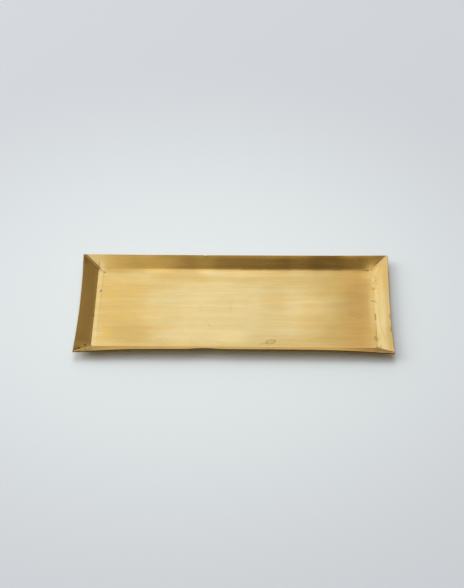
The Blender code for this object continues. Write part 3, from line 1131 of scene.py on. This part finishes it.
def open_edge(graph, across, right, front):
    """Where a seam is brown: by its open edge, or along a line in the rear left one's cap."""
    edge = graph.times(graph.ramp(across, 0.3, 0.8), graph.ramp(right, 0, 1, 1, 0.6))
    line = graph.ramp(graph.gap(across, SEAM_LINE), 0.34, 0.12)
    line = graph.larger(line, graph.ramp(across, -0.5, -0.35, 0, 0.5))
    rear_left = graph.times(graph.minus(1, right), graph.minus(1, front))
    brown = graph.node("ShaderNodeMix", {0: rear_left, 2: edge, 3: line})
    return graph.times(brown, graph.ramp(front, 0, 1, 0.85, 0.3))


def seam_material():
    """Filed brazing: pale where the file ran, brown and pitted by the open edge."""
    material, graph = new_material("filed_brazing")
    place = graph.place()
    x, y, _ = graph.split(place)
    right = graph.ramp(x, -10, 10)
    front = graph.ramp(y, 10, -10)
    across = graph.attribute("across")
    grain = graph.noise(graph.scale(place, 1 / SEAM_GRAIN), 3)
    stain = graph.blotches(place, SEAM_STAIN_SIZE, 1, detail=4)
    brown = graph.larger(open_edge(graph, across, right, front), graph.ramp(across, -0.85, -1, 0, 0.12))
    brown = graph.larger(brown, graph.ramp(stain, 0.6, 0.85, 0, 0.5))
    # the front seams are darker: painted shade
    filed = graph.mix(front, graph.mix(right, FILED_LEFT, FILED_RIGHT), FILED_FRONT_SHADED)
    colour = graph.mix(graph.ramp(grain, 0.3, 0.7, 0, 0.12), filed, SCORCHED_BRASS)
    colour = graph.mix(brown, colour, BURNT_BRASS)
    colour = graph.mix(graph.marks(graph.jittered(place), RED_LINES), colour, RED_OXIDE)
    roughness = graph.ramp(grain, 0.3, 0.7, 0.27, 0.36)
    finish_brass(graph, colour, roughness, SEAM_ANISOTROPY, grain, SEAM_BUMP, SEAM_BUMP_DEPTH)
    return material


def table_material():
    """A matt pale table with a painted pool of light: lighter around the tray."""
    material, graph = new_material("pale_table")
    place = graph.node("ShaderNodeTexCoord", output="Object")
    offset = graph.vector("SUBTRACT", place, TABLE_LIGHT_CENTRE)
    offset = graph.vector("MULTIPLY", offset, TABLE_LIGHT_SHAPE)
    colour = graph.mix(graph.ramp(graph.length(offset), *TABLE_LIGHT_REACH), TABLE_LIT_NEAR, TABLE_DIMMER_FAR)
    shader = graph.node("ShaderNodeBsdfPrincipled", {"Base Color": colour, "Roughness": TABLE_ROUGHNESS})
    graph.node("ShaderNodeOutputMaterial", {"Surface": shader})
    return material


# Studio


def make_table():
    """A wide table, a hair below the tray."""
    half = TABLE_SIZE / 2
    mesh = bpy.data.meshes.new("table")
    corners = [(-half, -half, 0), (half, -half, 0), (half, half, 0), (-half, half, 0)]
    mesh.from_pydata(corners, [], [(0, 1, 2, 3)])
    mesh.materials.append(table_material())
    table = add_object("table", mesh)
    table.location.z = -TABLE_DROP


def room_light(graph, direction):
    """The light that comes from a direction.

    The left is a bright window, whose edge leans left in front and right behind. The right is dim
    and warm, but lighter overhead, and low in front it is dark.
    """
    x, y, z = graph.split(direction)
    front = graph.ramp(y, 0.1, -0.5)
    front_border = graph.dot(direction, (1, -0.091, -0.7))
    rear_border = graph.minus(graph.dot(direction, (1, 0, 1.2)), 1.533)
    lean = graph.times(graph.minus(front_border, rear_border), front)
    dim_side = graph.ramp(graph.plus(rear_border, lean), -0.561, -0.441)
    dim_side = graph.larger(dim_side, graph.ramp(x, 0.24, 0.38))
    overhead = graph.mix(graph.ramp(x, -0.09, -0.03), OVERHEAD_LEFT, OVERHEAD_RIGHT)
    dim = graph.mix(graph.ramp(z, 0.8, 0.98), graph.mix(front, REAR_DIM, FRONT_DIM), overhead)
    light = graph.mix(dim_side, graph.mix(front, REAR_WINDOW, FRONT_WINDOW), dim)
    low_front = graph.times(graph.ramp(y, 0.15, -0.2), graph.ramp(z, 0.66, 0.5))
    low_light = graph.mix(graph.ramp(z, 0.36, 0.24), LOW_FRONT_DARK, LOW_FRONT_WARM)
    return graph.mix(low_front, light, low_light)


def make_room():
    """The room as soft light around the tray, behind a plain pale backdrop."""
    world = bpy.data.worlds.new("room")
    world.use_nodes = True
    bpy.context.scene.world = world
    graph = Graph(world.node_tree)
    light = room_light(graph, graph.node("ShaderNodeTexCoord", output="Generated"))
    is_seen = graph.node("ShaderNodeLightPath", output="Is Camera Ray")
    colour = graph.mix(is_seen, light, BACKDROP)
    background = graph.node("ShaderNodeBackground", {"Color": colour})
    graph.node("ShaderNodeOutputWorld", {"Surface": background})


def towards(azimuth, elevation):
    """The direction at an angle to the right of the rear, and up by an angle."""
    level = math.cos(elevation)
    return Vector((math.sin(azimuth) * level, math.cos(azimuth) * level, math.sin(elevation)))


def make_softbox(power, azimuth, elevation):
    """A square soft light that the brass doesn't mirror."""
    light = bpy.data.lights.new("softbox", "AREA")
    light.shape = "SQUARE"
    light.size = SOFTBOX_SIZE
    light.energy = power
    softbox = add_object("softbox", light)
    back = towards(azimuth, elevation)
    softbox.location = back * SOFTBOX_DISTANCE
    softbox.rotation_quaternion = back.to_track_quat("Z", "Y")
    softbox.visible_glossy = False


def make_camera():
    """The photograph's camera, looking down from in front."""
    data = bpy.data.cameras.new("camera")
    data.sensor_width = SENSOR_LONG_SIDE
    data.lens = LENS
    data.clip_start = CAMERA_NEAR
    camera = add_object("camera", data)
    forward = towards(-CAMERA_YAW, -CAMERA_PITCH)
    camera.location = CAMERA_TARGET - forward * CAMERA_DISTANCE
    camera.rotation_quaternion = forward.to_track_quat("-Z", "Y") @ Quaternion(Z, CAMERA_ROLL)
    bpy.context.scene.camera = camera


make_camera()
make_room()
for power, azimuth, elevation in SOFTBOXES:
    make_softbox(power, math.radians(azimuth), math.radians(elevation))
make_table()
make_sheet(sheet_material())
brazing = seam_material()
make_seam("rear_left", -1, 1, SEAM_WIDE, SEAM_MEDIUM, brazing)
make_seam("rear_right", 1, 1, SEAM_MEDIUM, SEAM_WIDE, brazing, SEAM_FULL_FILLET)
make_seam("front_left", -1, -1, SEAM_MEDIUM, SEAM_NARROW, brazing)
make_seam("front_right", 1, -1, SEAM_MEDIUM, SEAM_NARROW, brazing)
bpy.context.scene.view_settings.view_transform = "Standard"
